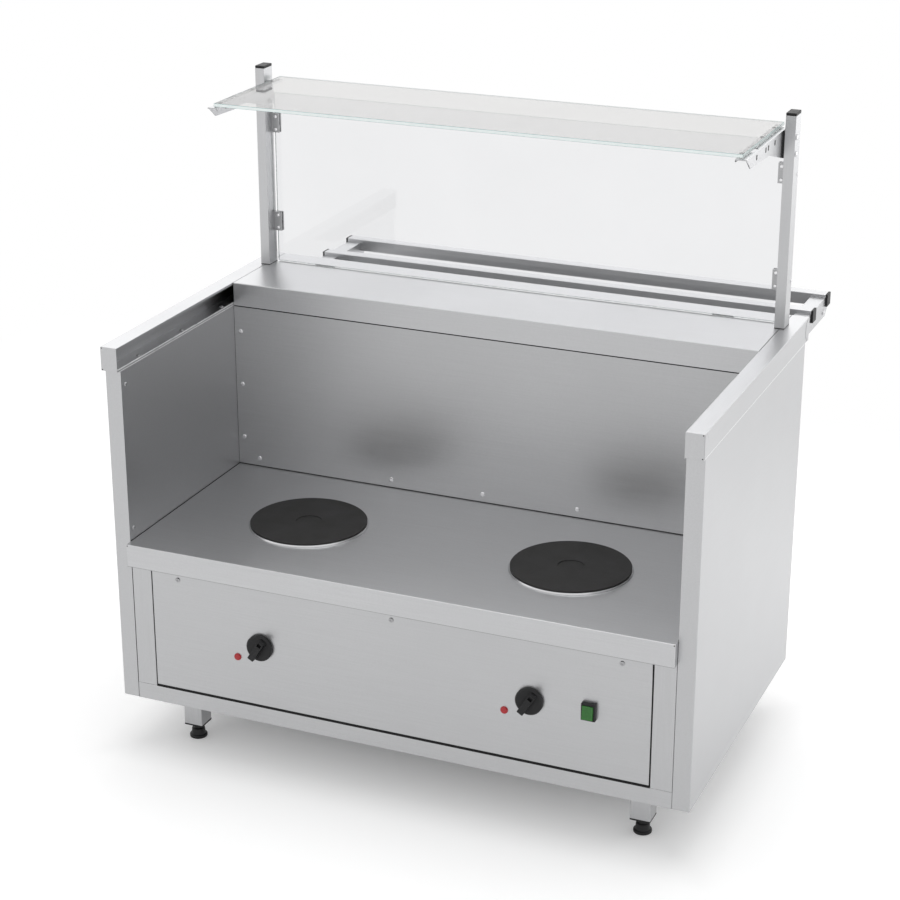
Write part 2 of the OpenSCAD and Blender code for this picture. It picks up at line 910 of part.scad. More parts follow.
module legs() {
    half = leg_w / 2;
    plate = leg_plate_w / 2;
    color(steel) placed() pair() at_legs() {
        upright_tube(-half, half, -half, half, leg_low, leg_top + over / 2, leg_wall);
        difference() {
            block([-plate, -plate, leg_top], [plate, plate, base_h]);
            at_leg_bolts() translate([0, 0, base_h]) bolt_hole(4 * leg_plate_t);
        }
    }
}

module leg_inserts() {
    half = leg_w / 2;
    plug = half - leg_wall - plug_clear;
    color(black) placed() pair() at_legs() difference() {
        union() {
            block([-half, -half, foot_h], [half, half, leg_low]);
            block([-plug, -plug, foot_h], [plug, plug, leg_low + insert_l]);
        }
        translate([0, 0, foot_h - over]) {
            cylinder(d = stem_d + 2 * stem_clear, h = insert_t + insert_l + 2 * over);
        }
    }
}

module foot(side, y) {
    top = foot_h - foot_clear;
    color(black) placed() translate([side * leg_x, y, 0]) rotate_extrude() polygon([
        [0, 0], [foot_d / 2 - 1.5, 0], [foot_d / 2, 1.5], [foot_d / 2, 6],
        [foot_d / 2 - 2, 8.5], [neck_d / 2, 10.5], [neck_d / 2, top - 1],
        [neck_d / 2 - 1, top], [stem_d / 2, top], [stem_d / 2, top + stem_l],
        [0, top + stem_l]
    ]);
}

module foot_front_left() {
    foot(-1, leg_inset_y);
}

module foot_front_right() {
    foot(1, leg_inset_y);
}

module foot_rear_left() {
    foot(-1, depth - leg_inset_y);
}

module foot_rear_right() {
    foot(1, depth - leg_inset_y);
}

// Posts, shelf and screen

module post() {
    difference() {
        union() {
            upright_tube(post_x0, post_x1, post_y0, post_y1, post_low, post_top, post_wall);
            block([post_x0, post_y0, post_low], [post_x1, post_y1, post_low + post_base_t]);
        }
        translate([post_cx, post_cy, post_low]) bolt_hole(4 * post_base_t);
        at_arm_bolts() cylinder(d = pan_bolt_d + 2 * hole_clear, h = 4 * post_w, center = true);
        at_clamps() at_clamp_fixing() {
            cylinder(d = screw_d + 2 * hole_clear, h = 4 * post_w, center = true);
        }
    }
}

module post_left() {
    color(steel) placed() mirror([1, 0, 0]) post();
}

module post_right() {
    color(steel) placed() post();
}

module post_caps() {
    inset = post_wall + plug_clear;
    color(black) placed() pair() union() {
        block([post_x0, post_y0, post_top], [post_x1, post_y1, post_top + post_cap_t]);
        block([post_x0 + inset, post_y0 + inset, post_top - post_plug_l],
              [post_x1 - inset, post_y1 - inset, post_top + over]);
    }
}

// Gaskets under the posts, and spacers between the posts and the shelf arms
module post_spacers() {
    color(black) placed() pair() {
        difference() {
            block([post_x0, post_y0, deck_h], [post_x1, post_y1, post_low]);
            translate([post_cx, post_cy, deck_h]) bolt_hole(8 * gasket_t);
        }
        difference() {
            block([arm_x1, post_y0, arm_top - arm_root_h], [post_x0, arm_back, arm_top]);
            at_arm_bolts() cylinder(d = pan_bolt_d + 2 * hole_clear, h = 4 * post_w, center = true);
        }
    }
}

// Plates under the feet of the posts, and plates behind the console bolts
module backing_plates() {
    backing_half = 22;
    color(steel_dark) placed() pair() {
        difference() {
            block([post_cx - backing_half, post_cy - backing_half, under_deck - backing_t],
                  [post_cx + backing_half, post_cy + backing_half, under_deck]);
            translate([post_cx, post_cy, under_deck]) bolt_hole(4 * backing_t);
        }
        difference() {
            block([console_x0 - 8, depth - backing_t, wall_plate_low],
                  [console_x1, depth, rail_z - 1]);
            at_wall_bolts() bolt_hole(60);
        }
    }
}

module shelf_arm() {
    window_l = 24;
    window_w = 11;
    window_x = arm_x0 - 7;
    window_y = arm_front + 0.234 * arm_l;
    difference() {
        union() {
            side_profile(arm_x0, arm_t) polygon([
                [arm_front, arm_top], [arm_front + 0.103 * arm_l, arm_top - arm_tip_h],
                [arm_front + 0.567 * arm_l, arm_top - arm_tip_h - 4],
                [post_y0, arm_top - arm_root_h],
                [arm_back, arm_top - arm_root_h], [arm_back, arm_top]
            ]);
            block([flange_x0, arm_front, arm_top - arm_t], [arm_x1, arm_back, arm_top]);
            block([flange_x0, arm_front, arm_top - arm_fold],
                  [flange_x0 + arm_t, arm_back, arm_top]);
        }
        // Round-ended window in the flange
        for (y = [window_y, window_y + window_l]) {
            translate([window_x, y, arm_top]) cylinder(d = window_w, h = 4 * arm_t, center = true);
        }
        block([window_x - window_w / 2, window_y, arm_top - 2 * arm_t],
              [window_x + window_w / 2, window_y + window_l, arm_top + over]);
        // Small fixing holes in the flange
        for (share = [0.433, 0.716, 0.816, 0.931]) {
            translate([window_x, arm_front + share * arm_l, arm_top]) {
                cylinder(d = 5, h = 4 * arm_t, center = true);
            }
        }
        // Upright slots in the side plate
        for (share = [0.249, 0.471, 0.536, 0.697]) {
            slot_y = arm_front + share * arm_l;
            block([arm_x0 - over, slot_y - 2, arm_top - 14], [arm_x1 + over, slot_y + 2, arm_top - 6]);
        }
        at_arm_bolts() cylinder(d = pan_bolt_d + 2 * hole_clear, h = 4 * post_w, center = true);
    }
}

module shelf_arm_left() {
    color(steel) placed() mirror([1, 0, 0]) shelf_arm();
}

module shelf_arm_right() {
    color(steel) placed() shelf_arm();
}

module shelf_glass() {
    low = deck_h + shelf_z;
    color(glass) placed() block([-shelf_x, shelf_y0, low], [shelf_x, shelf_y1, low + glass_t]);
}

module screen_glass() {
    color(glass) placed() difference() {
        block([-screen_x, screen_y, deck_h + screen_low],
              [screen_x, screen_y + glass_t, deck_h + screen_top]);
        pair() at_clamps() at_jaw_screws() {
            cylinder(d = screw_d + 3, h = 6 * glass_t, center = true);
        }
    }
}

// Discs under the shelf, and blocks under the screen
module glass_pads() {
    seat_l = 40;
    seat_x = 0.84 * screen_x;
    color(black) placed() pair() {
        for (share = [0.084, 0.575, 0.877]) {
            translate([flange_x0 + pad_d / 2 + 1, arm_front + share * arm_l, arm_top]) {
                cylinder(d = pad_d, h = pad_t);
            }
        }
        block([seat_x - seat_l, screen_y, deck_h], [seat_x, screen_y + glass_t, deck_h + screen_low]);
    }
}

// Two jaws on either side of the screen, joined beside its edge
module glass_clamps() {
    half = clamp_h / 2;
    color(steel_dark) placed() pair() at_clamps() difference() {
        block([post_x0 - clamp_w, screen_y - jaw_t, -half],
              [post_x0, screen_y + glass_t + jaw_t, half]);
        block([post_x0 - clamp_w - over, screen_y, -half - over],
              [screen_x + pane_clear, screen_y + glass_t, half + over]);
        at_jaw_screws() cylinder(d = screw_d + 2 * hole_clear, h = 80, center = true);
        at_clamp_fixing() cylinder(d = screw_d + 2 * hole_clear, h = 4 * post_w, center = true);
    }
}

module clamp_screws() {
    grip = 2 * jaw_t + glass_t;
    color(steel) placed() pair() at_clamps() {
        at_jaw_screws() pan_head(7.5, 3, screw_d, grip);
        at_clamp_fixing() pan_head(7.5, 1.8, screw_d, post_w + 3);
    }
}

// Tray rail

module tray_console() {
    difference() {
        union() {
            side_profile(console_x0, console_w) polygon([
                [rear_face + wall_plate_t / 2, console_top], [rail_back, console_top],
                [rail_back, console_low + 18], [rail_back - nose_run, console_low],
                [rear_face + wall_plate_t / 2, console_low]
            ]);
            block([console_x0 - 2, rear_face, wall_plate_low],
                  [console_x1 + 2, rear_face + wall_plate_t, console_top]);
        }
        side_profile(console_x0 + console_t, console_w - 2 * console_t) polygon([
            [rear_face + wall_plate_t, console_top - console_t],
            [rail_back - console_t, console_top - console_t],
            [rail_back - console_t, console_low + 17],
            [rail_back - nose_run - 0.5, console_low - over],
            [rear_face + wall_plate_t, console_low - over]
        ]);
        for (k = [0 : tube_count - 1]) {
            y = rail_back - tube_w - k * tube_pitch;
            block([console_x0 - over, y, tube_low], [console_x1 + over, y + tube_w, console_top + over]);
        }
        at_wall_bolts() bolt_hole(60);
        at_console_bolt() {
            cylinder(d = pan_bolt_d + 2 * hole_clear, h = 4 * console_t, center = true);
        }
    }
}

module tray_console_left() {
    color(steel) placed() mirror([1, 0, 0]) tray_console();
}

module tray_console_right() {
    color(steel) placed() tray_console();
}

module tray_tubes() {
    color(steel) placed() for (k = [0 : tube_count - 1]) {
        y = rail_back - tube_w - k * tube_pitch;
        difference() {
            block([-tube_x, y, tube_low], [tube_x, y + tube_w, tube_top]);
            block([-tube_x - over, y + tube_wall, tube_low + tube_wall],
                  [tube_x + over, y + tube_w - tube_wall, tube_top - tube_wall]);
        }
    }
}

module tray_tube_caps() {
    inset = tube_wall + plug_clear;
    color(black) placed() pair() for (k = [0 : tube_count - 1]) {
        y = rail_back - tube_w - k * tube_pitch;
        union() {
            block([tube_x, y, tube_low], [tube_x + tube_cap_t, y + tube_w, tube_top]);
            block([tube_x - tube_plug_l, y + inset, tube_low + inset],
                  [tube_x + over, y + tube_w - inset, tube_top - inset]);
        }
    }
}

// Hotplates

module hotplate() {
    step = plate_rise - plate_edge;
    rotate_extrude($fn = 96) polygon([
        [0, -stud_low], [bolt_d / 2, -stud_low], [bolt_d / 2, -plate_body],
        [neck_r, -plate_body], [neck_r, step], [plate_r - 1, step],
        [plate_r, step + 0.8], [plate_r, plate_rise - 0.8], [plate_r - 0.8, plate_rise],
        [recess_d / 2 + 0.4, plate_rise], [recess_d / 2, plate_rise - recess_depth],
        [0, plate_rise - recess_depth]
    ]);
}

module hotplate_left() {
    color(iron) placed() translate([-plate_x, plate_y, hob_z]) hotplate();
}

module hotplate_right() {
    color(iron) placed() translate([plate_x, plate_y, hob_z]) hotplate();
}

module hotplate_rings() {
    ring_in = neck_r + plate_clear;
    ring_h = plate_rise - plate_edge;
    color(steel) placed() at_plates() rotate_extrude($fn = 96) polygon([
        [ring_in, 0], [plate_r + ring_show, 0], [plate_r + ring_show, 0.8],
        [plate_r + ring_show / 2, ring_h], [ring_in, ring_h]
    ]);
}

// Cup under each casting, with a hole for its stud
module hotplate_pans() {
    cup_r = neck_r - 2;
    hole_r = bolt_d / 2 + hole_clear;
    color(steel_dark) placed() at_plates() rotate_extrude($fn = 96) polygon([
        [hole_r, -pan_low], [cup_r, -pan_low], [cup_r, -plate_body],
        [cup_r - 1, -plate_body], [cup_r - 1, 1 - pan_low], [hole_r, 1 - pan_low]
    ]);
}

// Bar under each pan, with ends that press up against the hob deck
module hotplate_bars() {
    reach = neck_r + 14;
    half = 12;
    end_t = 8;
    color(steel_dark) placed() at_plates() difference() {
        union() {
            block([-half, -reach, -bar_low], [half, reach, -pan_low]);
            for (y = [-reach, reach - end_t]) {
                block([-half, y, -bar_low], [half, y + end_t, -sheet]);
            }
        }
        bolt_hole(4 * stud_low);
    }
}

// Knobs, switches and lights; local z points out of the control panel

module knob() {
    difference() {
        union() {
            translate([0, 0, knob_gap]) rotate_extrude() polygon([
                [0, 0], [knob_d / 2, 0], [knob_d / 2, skirt_t - skirt_bevel],
                [knob_d / 2 - skirt_bevel, skirt_t], [0, skirt_t]
            ]);
            intersection() {
                rotate([0, 0, -knob_angle]) translate([-grip_w / 2, -grip_l / 2, skirt_t / 2]) {
                    cube([grip_w, grip_l, knob_reach - skirt_t / 2]);
                }
                cylinder(d = grip_l + 0.5, h = knob_reach + over);
            }
        }
        translate([0, 0, knob_gap - over]) {
            cylinder(d = shaft_d + 2 * knob_fit, h = shaft_top + shaft_end_clear - knob_gap + over);
        }
        rotate([0, 0, -knob_angle]) {
            translate([-index_size / 2, index_offset - index_size / 2, knob_reach - index_depth]) {
                cube([index_size, index_size, index_depth + over]);
            }
        }
    }
}

module knob_left() {
    color(black) placed() translate([-knob_x, 0, knob_z]) facing_front() knob();
}

module knob_right() {
    color(black) placed() translate([knob_x, 0, knob_z]) facing_front() knob();
}

module shaft() {
    translate([0, 0, -shaft_in]) cylinder(d = shaft_d, h = shaft_in + shaft_top);
}

module shaft_left() {
    color(steel) placed() translate([-knob_x, 0, knob_z]) facing_front() shaft();
}

module shaft_right() {
    color(steel) placed() translate([knob_x, 0, knob_z]) facing_front() shaft();
}

// Switch bodies behind the panel, each with a bush that fills its hole
module heat_switches() {
    half = heat_switch_w / 2;
    color(white) placed() at_knobs() difference() {
        union() {
            block([-half, -half, -sheet - heat_switch_d], [half, half, -sheet]);
            translate([0, 0, -sheet - over]) cylinder(d = bush_d, h = sheet + over);
        }
        translate([0, 0, -shaft_in - shaft_end_clear]) {
            cylinder(d = shaft_d + 2 * shaft_clear, h = shaft_in + 2 * over);
        }
    }
}

module pilot_lights() {
    lens_r = pilot_d / 2;
    color(red) placed() at_pilots() rotate_extrude() polygon([
        [0, -pilot_body_l], [pilot_body_d / 2, -pilot_body_l], [pilot_body_d / 2, 0],
        [lens_r, 0], [lens_r, pilot_rise * 0.4], [lens_r * 0.92, pilot_rise * 0.7],
        [lens_r * 0.72, pilot_rise * 0.92], [lens_r * 0.4, pilot_rise], [0, pilot_rise]
    ]);
}

module bevelled_front(half_w) {
    polygon([
        [-half_w, 0], [half_w, 0], [half_w, bezel_t - bezel_bevel],
        [half_w - bezel_bevel, bezel_t], [bezel_bevel - half_w, bezel_t],
        [-half_w, bezel_t - bezel_bevel]
    ]);
}

module rocker_pin(diameter, length) {
    translate([0, 0, pivot_out]) rotate([0, 90, 0]) {
        cylinder(d = diameter, h = length, center = true);
    }
}

module switch_housing() {
    pocket_x = rocker_w / 2 + rocker_clear;
    pocket_y = rocker_h / 2 + rocker_swing;
    body_x = bezel_w / 2 - 2;
    body_y = bezel_h / 2 - 2;
    color(black) placed() translate([switch_x, 0, switch_z]) facing_front() difference() {
        union() {
            intersection() {
                rotate([90, 0, 0]) linear_extrude(bezel_h, center = true) {
                    bevelled_front(bezel_w / 2);
                }
                rotate([90, 0, 90]) linear_extrude(bezel_w, center = true) {
                    bevelled_front(bezel_h / 2);
                }
            }
            block([-body_x, -body_y, -switch_body_l], [body_x, body_y, over]);
        }
        block([-pocket_x, -pocket_y, 0], [pocket_x, pocket_y, bezel_t + over]);
        rocker_pin(rocker_pin_d + 0.2, rocker_w + 3.4);
    }
}

module switch_rocker() {
    half_x = rocker_w / 2;
    half_y = rocker_h / 2;
    rise = bezel_t + rocker_rise - pivot_out;
    color(green) placed() translate([switch_x, 0, switch_z]) facing_front() union() {
        translate([0, 0, pivot_out]) rotate([-rocker_tilt, 0, 0]) {
            block([-half_x, -half_y, 2 - pivot_out], [half_x, half_y, rise]);
        }
        rocker_pin(rocker_pin_d, rocker_w + 3);
    }
}

// Electrical pieces inside and at the back

module terminal_block() {
    color(white) placed() translate([block_x, block_y, floor_top]) difference() {
        block([-block_l / 2, -block_w / 2, 0], [block_l / 2, block_w / 2, block_h]);
        for (k = [-2 : 2]) {
            translate([k * 12, 0, block_h - 6]) cylinder(d = 6, h = 6 + over);
        }
    }
}

// Gland through the rear panel with a lock nut on the inside
module cable_gland() {
    color(black) placed() at_gland() difference() {
        union() {
            hex_head(24, 6);
            rotate_extrude() polygon([
                [0, 5], [11, 5], [11, 14], [8.5, 20], [0, 20]
            ]);
            translate([0, 0, -gland_in]) cylinder(d = 20, h = gland_in + over);
            translate([0, 0, -sheet - 5]) hex_head(26, 5);
        }
        translate([0, 0, -gland_in - over]) cylinder(d = gland_bore_d, h = gland_in + 30);
    }
}

module conduit_run(from, to) {
    step = to - from;
    length = norm(step);
    translate(from) rotate([0, acos(step.z / length), atan2(step.y, step.x)]) {
        cylinder(d = conduit_d, h = length);
    }
}

module conduit(points) {
    union() {
        for (i = [0 : len(points) - 2]) {
            conduit_run(points[i], points[i + 1]);
        }
        for (i = [1 : len(points) - 2]) {
            translate(points[i]) sphere(d = conduit_d);
        }
    }
}

// Conduits: supply to terminals, terminals to mains switch, mains switch to
// heat switches, and each heat switch to its hotplate
module wiring() {
    gland_z = base_h + gland_rise;
    low = floor_top + conduit_d / 2 + 0.3;
    mid = floor_top + block_h / 2;
    side = block_x - block_l / 2;
    switch_back = sheet + heat_switch_d;
    near = sheet + conduit_d;
    half = heat_switch_w / 2;
    turn_y = plate_y - 40;
    color([0.5, 0.5, 0.5]) placed() {
        conduit([
            [-gland_x, rear_face - gland_in, gland_z], [-gland_x, block_y, gland_z],
            [side - 30, block_y, gland_z], [side - 30, block_y, mid], [side, block_y, mid]
        ]);
        conduit([
            [block_x + block_l / 2, block_y, mid], [block_x + block_l / 2 + 20, block_y, mid],
            [block_x + block_l / 2 + 20, block_y, low], [switch_x, block_y, low],
            [switch_x, front_d + 40, low], [switch_x, front_d + 40, switch_z],
            [switch_x, switch_body_l, switch_z]
        ]);
        conduit([[switch_x - bezel_w / 2 + 2, near, switch_z], [knob_x + half, near, switch_z]]);
        conduit([[knob_x - half, near, knob_z], [half - knob_x, near, knob_z]]);
        for (side = [-1, 1]) {
            end_x = side * plate_x + 45;
            conduit([
                [side * knob_x, switch_back, knob_z], [side * knob_x, turn_y, knob_z],
                [end_x, turn_y, knob_z], [end_x, turn_y, hob_z - pan_low]
            ]);
        }
    }
}

// Fasteners

module sheet_screws() {
    color(steel) placed() {
        at_panel_screws() sheet_screw();
        pair() {
            at_cap_screws() sheet_screw();
            at_liner_screws() sheet_screw();
            at_rear_screws() sheet_screw();
        }
    }
}

module rivet() {
    pan_head(rivet_head_d, rivet_head_h, screw_d, sheet + angle_t + 1);
}

module rivets() {
    color(steel) placed() {
        pair() at_side_rivets() rivet();
        at_low_rivets() rivet();
    }
}

// Bolts with their nuts under the posts, in the consoles and on the legs, and
// the nuts on the studs of the hotplates
module hex_bolts() {
    nut_h = bolt_d * 0.8;
    color(steel) placed() {
        pair() {
            translate([post_cx, post_cy, under_deck - backing_t]) mirror([0, 0, 1]) {
                hex_bolt(backing_t + sheet + gasket_t + post_base_t + nut_h + 3);
            }
            translate([post_cx, post_cy, post_low + post_base_t]) hex_nut(bolt_d);
            at_wall_bolts() {
                hex_bolt(wall_plate_t + sheet + backing_t + nut_h + 3);
                translate([0, 0, -wall_plate_t - sheet - backing_t]) {
                    mirror([0, 0, 1]) hex_nut(bolt_d);
                }
            }
            at_legs() at_leg_bolts() {
                translate([0, 0, leg_top]) mirror([0, 0, 1]) {
                    hex_bolt(leg_plate_t + sheet + angle_t + nut_h + 3);
                }
                translate([0, 0, floor_top + angle_t]) hex_nut(bolt_d);
            }
        }
        at_plates() translate([0, 0, -bar_low - nut_h]) hex_nut(bolt_d);
    }
}

// Bolts through the posts into the shelf arms, and one in each console's side
module pan_bolts() {
    reach = post_w + spacer_t + arm_t;
    color(steel) placed() pair() {
        at_arm_bolts() {
            pan_head(pan_bolt_d * 1.8, pan_bolt_d * 0.5, pan_bolt_d, reach + pan_bolt_d);
            translate([0, 0, -reach]) mirror([0, 0, 1]) hex_nut(pan_bolt_d);
        }
        at_console_bolt() pan_head(pan_bolt_d * 1.8, pan_bolt_d * 0.5, pan_bolt_d, 12);
    }
}

side_panel_left();
side_panel_right();
side_liner_left();
side_liner_right();
cap_arm_left();
cap_arm_right();
rear_deck();
deck_rails();
back_liner();
support_angles();
hob_deck();
front_stiles();
top_rail();
bottom_rail();
control_panel();
rear_panel();
base_tray();
stiffeners();
legs();
leg_inserts();
foot_front_left();
foot_front_right();
foot_rear_left();
foot_rear_right();
post_left();
post_right();
post_caps();
post_spacers();
backing_plates();
shelf_arm_left();
shelf_arm_right();
shelf_glass();
screen_glass();
glass_pads();
glass_clamps();
clamp_screws();
tray_console_left();
tray_console_right();
tray_tubes();
tray_tube_caps();
hotplate_left();
hotplate_right();
hotplate_rings();
hotplate_pans();
hotplate_bars();
knob_left();
knob_right();
shaft_left();
shaft_right();
heat_switches();
pilot_lights();
switch_housing();
switch_rocker();
terminal_block();
cable_gland();
wiring();
sheet_screws();
rivets();
hex_bolts();
pan_bolts();
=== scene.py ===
import json
import math

import bmesh
import bpy
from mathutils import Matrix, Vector
from mathutils.bvhtree import BVHTree


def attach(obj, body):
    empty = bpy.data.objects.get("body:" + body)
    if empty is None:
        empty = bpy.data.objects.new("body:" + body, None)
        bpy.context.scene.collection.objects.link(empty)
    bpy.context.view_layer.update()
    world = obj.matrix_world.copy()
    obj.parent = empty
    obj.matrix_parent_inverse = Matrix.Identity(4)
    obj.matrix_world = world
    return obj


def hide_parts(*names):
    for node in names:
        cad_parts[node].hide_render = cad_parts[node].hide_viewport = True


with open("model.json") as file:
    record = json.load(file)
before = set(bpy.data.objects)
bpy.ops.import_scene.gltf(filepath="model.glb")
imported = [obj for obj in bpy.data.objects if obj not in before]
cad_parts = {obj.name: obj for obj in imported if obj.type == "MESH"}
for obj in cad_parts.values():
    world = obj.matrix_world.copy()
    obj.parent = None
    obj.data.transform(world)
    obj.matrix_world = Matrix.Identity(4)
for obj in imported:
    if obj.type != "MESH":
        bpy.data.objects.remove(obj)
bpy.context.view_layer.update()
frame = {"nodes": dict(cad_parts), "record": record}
nodes = frame["nodes"]

MM = 0.001
# The frame's origin lies this far behind the front faces of the side panels
MID_Y = 469.75
# Half the width and the depth of the counter's body
HALF_WIDTH = 560
BODY_DEPTH = 635
# Faces of the counter in the bay between the side panels
BAY_X = 528.0
BAY_BACK = 427.3
# Hotplate centres, from the centre line and from the side panels' front faces
PLATE_X, PLATE_Y = 261.8, 204
# Outer face, front edge, back edge, lower and upper end of the caps' corner tabs
TAB_X, TAB_FRONT, TAB_BACK, TAB_LOW, TAB_HIGH = 560.6, -11.0, 652.0, 763.6, 807.4


def at(x, y, z):
    """A point of the counter, in mm from the centre line, the side panels' front faces and the floor."""
    return Vector((x * MM, (y - MID_Y) * MM, z * MM))


# Camera


def add_camera():
    yaw, pitch = 0.402164, 0.373358
    data = bpy.data.cameras.new("photo_view")
    data.sensor_fit = "HORIZONTAL"
    data.sensor_width = 36.0
    data.lens = 87.94
    data.clip_start = 0.05
    data.clip_end = 60.0
    camera = bpy.data.objects.new("photo_view", data)
    bpy.context.scene.collection.objects.link(camera)
    camera.location = (1.4688, -3.65735, 2.0663)
    camera.rotation_euler = (math.pi / 2 - pitch, 0.0, yaw)
    bpy.context.scene.camera = camera


# Node graphs


class Graph:
    """Builds one shader node tree with short calls."""

    def __init__(self, tree):
        self.tree = tree
        tree.nodes.clear()

    def add(self, kind, inputs=None, **settings):
        node = self.tree.nodes.new(kind)
        for key, value in settings.items():
            setattr(node, key, value)
        for key, value in (inputs or {}).items():
            if isinstance(value, bpy.types.NodeSocket):
                self.tree.links.new(value, node.inputs[key])
            else:
                node.inputs[key].default_value = value
        return node

    def math(self, operation, a, b=0.0, clamp=False):
        return self.add("ShaderNodeMath", {0: a, 1: b}, operation=operation, use_clamp=clamp).outputs[0]

    def place(self, stretch=(1, 1, 1)):
        coord = self.add("ShaderNodeTexCoord").outputs["Object"]
        return self.add("ShaderNodeMapping", {"Vector": coord, "Scale": stretch}).outputs["Vector"]

    def noise(self, vector, scale, detail=2.0, rough=0.5):
        values = {"Vector": vector, "Scale": scale, "Detail": detail, "Roughness": rough}
        return self.add("ShaderNodeTexNoise", values).outputs["Fac"]

    def between(self, value, low, high, start=0.3, end=0.7):
        values = {"Value": value, "From Min": start, "From Max": end, "To Min": low, "To Max": high}
        return self.add("ShaderNodeMapRange", values).outputs["Result"]

    def mix_colour(self, factor, a, b):
        node = self.add("ShaderNodeMix", data_type="RGBA")
        for name, value in (("Factor_Float", factor), ("A_Color", a), ("B_Color", b)):
            socket = next(s for s in node.inputs if s.identifier == name)
            if isinstance(value, bpy.types.NodeSocket):
                self.tree.links.new(value, socket)
            else:
                socket.default_value = value
        return next(s for s in node.outputs if s.identifier == "Result_Color")

    def bump(self, height, strength, distance):
        values = {"Height": height, "Strength": strength, "Distance": distance}
        return self.add("ShaderNodeBump", values).outputs["Normal"]

    def surface(self, shader):
        self.add("ShaderNodeOutputMaterial", {"Surface": shader})


def material(name):
    made = bpy.data.materials.new(name)
    made.use_nodes = True
    return made, Graph(made.node_tree)


def grey(value):
    return (value, value, value, 1.0)


def tint(colour, factor):
    return tuple(c * factor for c in colour[:3]) + (1.0,)


# Materials


def steel(name, tone, rough, along, depth=0.05):
    """Satin stainless steel whose grain runs along one axis, with faint clouds and specks."""
    made, g = material(name)
    stretch = {"x": (9, 520, 520), "y": (520, 9, 520), "z": (520, 520, 9)}[along]
    grain = g.noise(g.place(stretch), 1.0, 3.0, 0.6)
    plain = g.place()
    clouds = g.noise(plain, 2.6, 4.0, 0.55)
    specks = g.noise(plain, 260.0, 2.0, 0.7)
    marks = g.math("ADD", g.math("MULTIPLY", grain, 0.6), g.math("MULTIPLY", specks, 0.4))
    colour = g.mix_colour(g.between(marks, 0.0, 1.0, 0.36, 0.64), tint(tone, 0.95), tint(tone, 1.04))
    colour = g.mix_colour(g.between(clouds, 0.0, 0.5), colour, tint(tone, 0.97))
    roughness = g.math("ADD", g.between(marks, rough - 0.04, rough + 0.04), g.between(clouds, -0.025, 0.025))
    shader = g.add("ShaderNodeBsdfPrincipled", {
        "Base Color": colour, "Metallic": 1.0, "Roughness": roughness,
        "Normal": g.bump(marks, depth, 0.0006),
    })
    g.surface(shader.outputs[0])
    return made


def cast_iron(name):
    """Dark cast iron, turned in fine rings round each plate's centre and slightly pitted."""
    made, g = material(name)
    split = g.add("ShaderNodeSeparateXYZ", {"Vector": g.place()})
    x = g.math("SUBTRACT", g.math("ABSOLUTE", split.outputs[0]), PLATE_X * MM)
    y = g.math("SUBTRACT", split.outputs[1], (PLATE_Y - MID_Y) * MM)
    radius = g.math("SQRT", g.math("ADD", g.math("MULTIPLY", x, x), g.math("MULTIPLY", y, y)))
    rings = g.math("SINE", g.math("MULTIPLY", radius, 2 * math.pi / 0.0018))
    pits = g.noise(g.place(), 620.0, 3.0, 0.7)
    stains = g.noise(g.place(), 14.0, 4.0, 0.6)
    height = g.math("ADD", g.math("MULTIPLY", rings, 0.35), pits)
    colour = g.mix_colour(g.between(pits, 0.0, 1.0), (0.018, 0.018, 0.019, 1), (0.028, 0.027, 0.027, 1))
    colour = g.mix_colour(g.between(stains, 0.0, 0.6), colour, (0.023, 0.022, 0.021, 1))
    shader = g.add("ShaderNodeBsdfPrincipled", {
        "Base Color": colour, "Metallic": 0.0, "Specular IOR Level": 0.35,
        "Roughness": g.between(stains, 0.56, 0.68), "Normal": g.bump(height, 0.25, 0.0004),
    })
    g.surface(shader.outputs[0])
    return made


def plastic(name, tone, rough, depth=0.12):
    """Moulded plastic with a fine eroded texture and a slight change of tone."""
    made, g = material(name)
    plain = g.place()
    texture = g.noise(plain, 900.0, 2.0, 0.6)
    patches = g.noise(plain, 40.0, 3.0)
    colour = g.mix_colour(g.between(patches, 0.0, 1.0), tint(tone, 0.88), tint(tone, 1.14))
    shader = g.add("ShaderNodeBsdfPrincipled", {
        "Base Color": colour, "Roughness": g.between(patches, rough - 0.04, rough + 0.05),
        "Specular IOR Level": 0.35, "Normal": g.bump(texture, depth, 0.0002),
    })
    g.surface(shader.outputs[0])
    return made


def lens(name, tone, cell):
    """Coloured clear plastic with a moulded prism pattern under a smooth skin."""
    made, g = material(name)
    prisms = g.add("ShaderNodeTexVoronoi", {"Vector": g.place(), "Scale": cell}).outputs["Distance"]
    colour = g.mix_colour(g.between(prisms, 0.0, 1.0, 0.1, 0.7), tint(tone, 1.12), tint(tone, 0.82))
    shader = g.add("ShaderNodeBsdfPrincipled", {
        "Base Color": colour, "Roughness": g.between(prisms, 0.26, 0.36, 0.1, 0.7),
        "Subsurface Weight": 0.15, "Subsurface Radius": (0.004, 0.001, 0.001), "Subsurface Scale": 0.5,
        "Coat Weight": 0.15, "Coat Roughness": 0.2, "Normal": g.bump(prisms, 0.15, 0.0004),
    })
    g.surface(shader.outputs[0])
    return made


def clear_glass(name, tone):
    """Clear float glass: thin, faintly grey and green, with a trace of haze."""
    made, g = material(name)
    haze = g.noise(g.place(), 5.0, 3.0)
    colour = g.mix_colour(g.between(haze, 0.0, 1.0), tint(tone, 0.985), tint(tone, 1.01))
    shader = g.add("ShaderNodeBsdfPrincipled", {
        "Base Color": colour, "Roughness": g.between(haze, 0.0, 0.012), "IOR": 1.5,
        "Transmission Weight": 1.0,
    })
    g.surface(shader.outputs[0])
    return made


